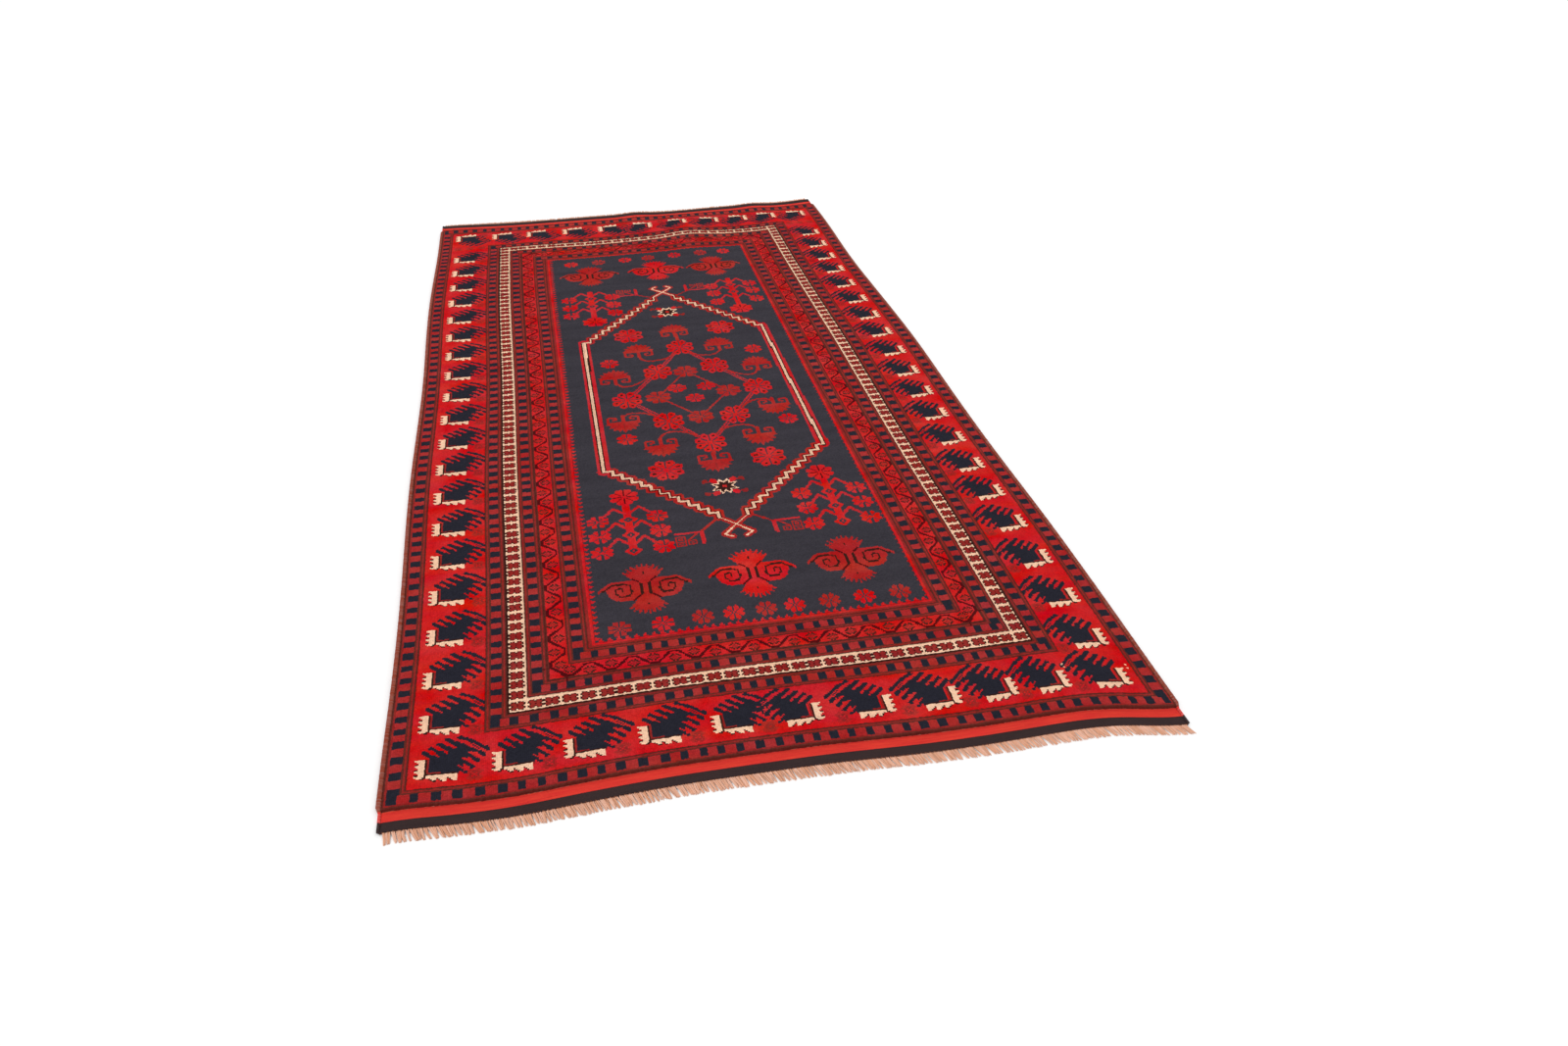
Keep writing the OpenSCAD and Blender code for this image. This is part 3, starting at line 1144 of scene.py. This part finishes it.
def swept(paths, sizes, sides):
    """Tubes along several paths in one mesh. A path is an array of points, and its size holds each
    point's half width and half height. Returns points, faces and the strand coordinates."""
    points, faces, strands = [], [], []
    base = 0
    for index, (path, size) in enumerate(zip(paths, sizes)):
        count = len(path)
        ahead = np.gradient(path, axis=0)
        ahead /= np.linalg.norm(ahead, axis=1)[:, None]
        aside = np.cross(ahead, (0.0, 0.0, 1.0))
        aside /= np.linalg.norm(aside, axis=1)[:, None]
        above = np.cross(aside, ahead)
        angles = np.arange(sides) * 2 * math.pi / sides
        ring = (
            path[:, None, :]
            + aside[:, None, :] * (size[:, None, 0:1] * np.cos(angles)[None, :, None])
            + above[:, None, :] * (size[:, None, 1:2] * np.sin(angles)[None, :, None])
        )
        points.append(ring.reshape(-1, 3))
        steps = np.concatenate([[0.0], np.cumsum(np.linalg.norm(np.diff(path, axis=0), axis=1))])
        along = np.repeat(steps / KNOT, sides)
        around = np.tile(np.arange(sides) / sides, count)
        strands.append(np.stack([along, around, np.full(count * sides, float(index))], axis=1))
        r, s = np.meshgrid(np.arange(count - 1), np.arange(sides), indexing="ij")
        t = (s + 1) % sides
        quads = np.stack([r * sides + s, r * sides + t, (r + 1) * sides + t, (r + 1) * sides + s], axis=-1)
        faces += (quads.reshape(-1, 4) + base).tolist()
        faces.append([base + s for s in range(sides)][::-1])
        faces.append([base + (count - 1) * sides + s for s in range(sides)])
        base += count * sides
    return np.concatenate(points), faces, np.concatenate(strands)


# ---- Camera: low at the near end, as the rug is usually seen ----

camera_data = bpy.data.cameras.new("camera")
camera_data.lens = 24.752
camera_data.sensor_width = 36.0
camera_data.shift_x = 0.03125
camera = bpy.data.objects.new("camera", camera_data)
camera.location = (-0.2907, -2.2793, 1.2455)
camera.rotation_euler = tuple(math.radians(a) for a in (54.421, 0.749, -10.583))
bpy.context.scene.collection.objects.link(camera)
bpy.context.scene.camera = camera


# ---- Pieces ----

# How strongly the dye lots of the navy wool and of the others show as bars
NAVY_BARS = 0.6
OTHER_BARS = 0.26
wool = [pile_wool(name, rgb, NAVY_BARS if name == "navy" else OTHER_BARS) for name, rgb, _ in YARNS]

middle_u = np.abs(np.arange(COLUMNS) - MID_U)[None, :]
middle_v = np.abs(np.arange(ROWS) - MID_V)[:, None]
beyond_field = np.maximum(middle_u - (FIELD_W - 1) / 2, middle_v - (FIELD_L - 1) / 2)


def make_pile():
    """One piece of pile for each stripe, the field and the medallion."""
    rows, columns = np.indices(cartoon.shape)
    within = inside(medallion_outline(), columns - MID_U, rows - MID_V)
    in_field = beyond_field <= 0
    pieces = [
        pile_piece("medallion", in_field & within, "navy_pile"),
        pile_piece("field", in_field & ~within, "navy_pile"),
    ]
    for name, (width, slot) in STRIPES.items():
        inner, _ = stripe(name)
        ring = (beyond_field > inner) & (beyond_field <= inner + width)
        pieces.append(pile_piece(name, ring, slot))
    return pieces


def slab(gu, gv, x, y, low, top):
    """A closed slab over a grid of the pattern: points, faces (below, above, round the rim) and knots."""
    rows, columns = gu.shape
    total = gu.size
    points = np.concatenate([
        np.stack([x.ravel(), y.ravel(), height.ravel()], axis=1) for height in (low, top)
    ])
    r, c = np.meshgrid(np.arange(rows - 1), np.arange(columns - 1), indexing="ij")
    corner = (r * columns + c).ravel()
    under = np.stack([corner, corner + columns, corner + columns + 1, corner + 1], axis=1)
    over = np.stack([corner, corner + 1, corner + columns + 1, corner + columns], axis=1) + total
    rim = np.concatenate([
        np.arange(columns - 1),
        np.arange(rows - 1) * columns + columns - 1,
        (rows - 1) * columns + np.arange(columns - 1, 0, -1),
        np.arange(rows - 1, 0, -1) * columns,
    ])
    after = np.roll(rim, -1)
    walls = np.stack([rim, after, after + total, rim + total], axis=1)
    knots = np.concatenate([np.stack([gu.ravel(), gv.ravel(), np.zeros(total)], axis=1)] * 2)
    return points, (under, over, walls), knots


# Knots to one cell of the ground weave's back, and how far its ribs stand out, in metres
BACK_STEP = 3
BACK_RIB = 0.0003


def make_ground():
    """The ground weave: a closed slab whose back shows the pattern."""
    u = np.append(np.arange(-HALF_U, HALF_U - 1, BACK_STEP), HALF_U)
    v = np.append(np.arange(-HALF_V, HALF_V - 1, BACK_STEP), HALF_V)
    gu, gv = np.meshgrid(u, v)
    x, y, low = drape(gu, gv)
    rib = BACK_RIB * (np.indices(gu.shape).sum(axis=0) % 2)
    points, (under, over, walls), knots = slab(gu, gv, x, y, low + rib, low + WEAVE_H)
    centre_c = np.clip(((gu[:-1, :-1] + gu[:-1, 1:]) / 2 + HALF_U).astype(int), 0, COLUMNS - 1)
    centre_r = np.clip(((gv[:-1, :-1] + gv[1:, :-1]) / 2 + HALF_V).astype(int), 0, ROWS - 1)
    back = cartoon[centre_r, centre_c].ravel()
    yarns = np.concatenate([back, np.full(len(over) + len(walls), len(YARNS))])
    weave = flat_weave("ground", (150, 120, 100), 1.2)
    faces = np.concatenate([under, over, walls])
    knots = knots + (HALF_U, HALF_V, 0)
    piece = make_piece("ground_weave_back", points, faces, wool + [weave], yarns, None, knots)
    return stand_for(piece, "ground_weave", "ground_weave")


# A flat-woven band: rows of its mesh, height of its ribs, unevenness and least thickness in metres
BAND_ROWS = 24
BAND_RIB = 0.00022
BAND_UNEVEN = 0.00008
BAND_LEAST = 0.0004


def kilim(word, tone, end, start, length, material):
    """A flat-woven band across one end: ribs over the warps, and weft rows between them."""
    across = np.arange(2 * COLUMNS + 1) / 2 - HALF_U
    out = HALF_V + (start + np.linspace(0, 1, BAND_ROWS + 1) * length) / KNOT
    gu, gv = np.meshgrid(across, end * out)
    x, y, low = drape(gu, gv)
    rib = BAND_RIB * np.cos(2 * math.pi * gu) + rng.normal(0, BAND_UNEVEN, gu.shape)
    ease = np.clip((HALF_U - np.abs(gu)) / 1.5, 0, 1)
    top = low + BAND_LEAST + (KILIM_H - BAND_LEAST) * (0.75 + 0.25 * ease) + rib
    points, sheets, knots = slab(gu, gv, x, y, low, top)
    faces = np.concatenate(sheets)
    if end < 0:
        faces = faces[:, ::-1]
    smooth = np.repeat([False, True, False], [len(part) for part in sheets])
    piece = make_piece(f"{word}_{tone}_band", points, faces, [material], None, smooth, knots)
    return stand_for(piece, f"{tone}_kilim", f"{word}_{tone}_kilim")


# How far a red band reaches in under the last row of knots, and one turn of an end cord, in metres
RED_TUCK = KNOT / 2
CORD_TURN = 0.0068
# Outer edge of the black bands, in knots from the middle
EDGE_V = HALF_V + (RED_KILIM_L + BLACK_KILIM_L) / KNOT

# The wool round a side edge: length of one turn, slant of a turn (metres), and sides of its tube
WRAP_TURN = 0.0031
WRAP_SLANT = 0.0011
WRAP_SIDES = 12
# Height of the ridge of a turn and its unevenness, as shares of the radius, and the lowest point (metres)
WRAP_RIDGE = 0.06
WRAP_UNEVEN = 0.05
WRAP_LOWEST = 0.0002
# How much slimmer the wrapped edge is beside the flat bands
BAND_SLIMMING = 0.45
# The cords inside an edge: how many, rings of each, and how far they twist from ring to ring (radians)
CORE_CORDS = 3
CORE_RINGS = 600
CORE_TWIST = 0.35
# Sides of the tube of every thinner strand
STRAND_SIDES = 6


def edge_slimming(v):
    """The wrapped edge is full beside the pile and slimmer beside the flat bands."""
    return 1 - BAND_SLIMMING * np.clip((np.abs(v) - HALF_V + 3) / 4, 0, 1)


def selvedge(word, side):
    """The wool wrapped over the side cord: a ridge for every turn, laid on a slant."""
    per_turn = 4
    rings = int(2 * EDGE_V * KNOT / WRAP_TURN) * per_turn
    v = np.linspace(-EDGE_V, EDGE_V, rings + 1)
    x, y, low = drape(np.full_like(v, side * HALF_U), v)
    slim = edge_slimming(v)
    phase = np.arange(rings + 1) / per_turn
    grain = rng.normal(0, 1, rings + 1)
    grain = np.convolve(grain, np.ones(per_turn) / per_turn, mode="same")
    ridge = 1 + WRAP_RIDGE * np.cos(2 * math.pi * phase) + WRAP_UNEVEN * grain
    path = np.stack([x + side * SELVEDGE_W / 2 * slim, y, low + SELVEDGE_H / 2 * slim], axis=1)
    ridge = ridge * slim
    size = np.stack([SELVEDGE_W / 2 * ridge, SELVEDGE_H / 2 * ridge * 0.96], axis=1)
    points, faces, strands = swept([path], [size], WRAP_SIDES)
    lean = WRAP_SLANT * np.cos(2 * math.pi * strands[:, 1])
    points[:, 1] += side * lean
    points[:, 2] = np.maximum(points[:, 2], WRAP_LOWEST)
    strands[:, 2] = np.floor(np.repeat(phase, WRAP_SIDES) * 0.999)
    past_pile = np.abs((v[:-1] + v[1:]) / 2) - HALF_V
    band = np.where(past_pile < 0, 0, np.where(past_pile < RED_KILIM_L / KNOT, 1, 2))
    yarns = np.append(np.repeat(band, WRAP_SIDES), [2, 2])
    materials = [selvedge_wool, red_edge_yarn, black_edge_yarn]
    piece = make_piece(f"{word}_overcast_edge", points, faces, materials, yarns, None, None, strands)
    return stand_for(piece, "selvedge_wool", f"{word}_selvedge_wrap")


def selvedge_core(word, side):
    """The bundle of warps inside the wrapped edge: three cords side by side, twisted together."""
    v = np.linspace(-EDGE_V, EDGE_V, CORE_RINGS + 1) * 0.9995
    x, y, low = drape(np.full_like(v, side * HALF_U), v)
    slim = edge_slimming(v)
    swing = CORE_W / 4.4 * slim
    paths, sizes = [], []
    for k in range(CORE_CORDS):
        angle = np.arange(CORE_RINGS + 1) * CORE_TWIST + k * 2 * math.pi / CORE_CORDS
        paths.append(np.stack([
            x + side * SELVEDGE_W / 2 * slim + swing * np.cos(angle),
            y,
            low + SELVEDGE_H / 2 * slim + swing * np.sin(angle) * 0.8,
        ], axis=1))
        sizes.append(np.stack([swing, swing], axis=1))
    points, faces, strands = swept(paths, sizes, STRAND_SIDES)
    piece = make_piece(f"{word}_edge_core", points, faces, [core_yarn], None, None, None, strands)
    return stand_for(piece, "core_yarn", f"{word}_selvedge_core")


def end_cord(word, end):
    """Two plies twined round the warps along the edge of the black band."""
    per_turn = 10
    rings = int(COLUMNS * KNOT / CORD_TURN) * per_turn
    u = np.linspace(-HALF_U, HALF_U, rings + 1)
    x, y, low = drape(u, np.full_like(u, end * (EDGE_V + END_CORD_D / 2 / KNOT)))
    paths, sizes = [], []
    radius = END_CORD_D / 4
    for k in range(2):
        angle = 2 * math.pi * np.arange(rings + 1) / per_turn + k * math.pi
        z = low + 2 * radius + radius * np.sin(angle)
        paths.append(np.stack([x, y + radius * np.cos(angle), z], axis=1))
        sizes.append(np.full((rings + 1, 2), radius * 1.08))
    points, faces, strands = swept(paths, sizes, STRAND_SIDES)
    half = len(faces) // 2
    yarns = np.arange(len(faces)) >= half
    materials = [cord_dark, cord_brown]
    piece = make_piece(f"{word}_twined_cord", points, faces, materials, yarns, None, None, strands)
    return stand_for(piece, "cord_yarn", f"{word}_end_cord")


# Bundles of an end, strands of a bundle, and knots left free at each corner
FRINGE_BUNDLES = 205
BUNDLE_STRANDS = 3
FRINGE_INSET = 1.0
# Sideways lean of the strands, as a share of their length
NEAR_LEAN = 0.4
FAR_LEAN = 0.1


def fringe(word, end):
    """Loose warp ends in small bundles that lean, bend and fray on the floor."""
    rings = 8
    t = np.linspace(0, 1, rings)
    pitch = (COLUMNS - 2 * FRINGE_INSET) / FRINGE_BUNDLES
    paths, sizes = [], []
    for i in range(FRINGE_BUNDLES):
        middle = -HALF_U + FRINGE_INSET + (i + 0.5) * pitch
        reach = FRINGE_L * (1.0 + 0.1 * rng.random())
        lean = rng.normal(NEAR_LEAN if end < 0 else FAR_LEAN, 0.06)
        if end < 0:
            # Those by the near left corner lie straight
            lean -= NEAR_LEAN * math.exp(-((middle + HALF_U) / 9) ** 2)
        for k in range(BUNDLE_STRANDS):
            apart = k - (BUNDLE_STRANDS - 1) / 2
            u = middle + apart * pitch / BUNDLE_STRANDS + rng.normal(0, 0.1)
            length = reach * (0.94 + 0.1 * rng.random())
            thick = 0.0009 + 0.0003 * rng.random()
            bow = rng.normal(0, 0.0006)
            x, y, _ = drape(np.full(rings, u), end * (EDGE_V + (END_CORD_D * 0.6 + t * length) / KNOT))
            x = x + lean * length * t + bow * np.sin(math.pi * t)
            x = x - 0.45 * apart * pitch / BUNDLE_STRANDS * KNOT * t
            swell = thick * (1.0 + 0.1 * np.sin(math.pi * t) - 0.2 * t)
            swell[-1] *= 0.5
            rise = 0.0016 * (1 - t) ** 2 + 0.0004 * (k % 2) * t
            paths.append(np.stack([x, y, swell * 0.8 + rise + 0.0002], axis=1))
            sizes.append(np.stack([swell, swell * 0.75], axis=1))
    points, faces, strands = swept(paths, sizes, STRAND_SIDES)
    piece = make_piece(f"{word}_fringe_strands", points, faces, [fringe_yarn], None, None, None, strands)
    return stand_for(piece, "fringe_yarn", f"{word}_fringe")


red_weave = flat_weave("red_band", (234, 62, 52), 1.6)
black_weave = flat_weave("black_band", (62, 48, 48), 1.6)
selvedge_wool = spun_yarn("selvedge", (140, 70, 56), 0.0, 0.3)
red_edge_yarn = spun_yarn("red_edge", (206, 50, 42), 0.0, 0.3)
black_edge_yarn = spun_yarn("black_edge", (60, 46, 46), 0.0, 0.3)
core_yarn = spun_yarn("core", (214, 196, 168), 0.6)
cord_dark = spun_yarn("cord_dark", (60, 40, 42), 0.9)
cord_brown = spun_yarn("cord_brown", (118, 78, 62), 0.9)
fringe_yarn = spun_yarn("fringe", (216, 162, 134), 0.55, 0.34)

pile_pieces = make_pile()
ground = make_ground()
for end, word in ((-1, "near"), (1, "far")):
    kilim(word, "red", end, -RED_TUCK, RED_KILIM_L + RED_TUCK, red_weave)
    kilim(word, "black", end, RED_KILIM_L, BLACK_KILIM_L, black_weave)
    end_cord(word, end)
    fringe(word, end)
for side, word in ((-1, "left"), (1, "right")):
    selvedge(word, side)
    selvedge_core(word, side)


# ---- Floor and light ----

def make_floor():
    """A plain pale floor far wider than the view."""
    half = 60.0
    corners = [(-half, -half, 0.0), (half, -half, 0.0), (half, half, 0.0), (-half, half, 0.0)]
    n = Nodes("floor_paint")
    grain = n.noise(n.place(), 3.0, 2.0)
    value = n.weighed(0.99, (grain, 0.02))
    n.vary((0.93, 0.93, 0.93, 1.0), value, 0.5, 1.0)
    n.shader.inputs["Roughness"].default_value = 0.9
    floor_piece = make_piece("floor", corners, [(0, 1, 2, 3)], [n.material])
    floor_piece.location.z = -0.0004
    return floor_piece


def sun(name, rotation, strength, softness):
    """A soft far light: rotation and softness in degrees."""
    data = bpy.data.lights.new(name, "SUN")
    data.energy = strength
    data.angle = math.radians(softness)
    lit = bpy.data.objects.new(name, data)
    lit.rotation_euler = tuple(math.radians(a) for a in rotation)
    bpy.context.scene.collection.objects.link(lit)


floor = make_floor()
sun("key", (30.0, -34.0, 0.0), 1.15, 20.0)
sun("fill", (-20.0, 26.0, 0.0), 0.25, 60.0)
world = bpy.data.worlds.new("studio")
world.use_nodes = True
world.node_tree.nodes["Background"].inputs["Color"].default_value = (1.0, 1.0, 1.0, 1.0)
world.node_tree.nodes["Background"].inputs["Strength"].default_value = 0.8
bpy.context.scene.world = world
bpy.context.scene.view_settings.view_transform = "Standard"

bpy.context.view_layer.update()
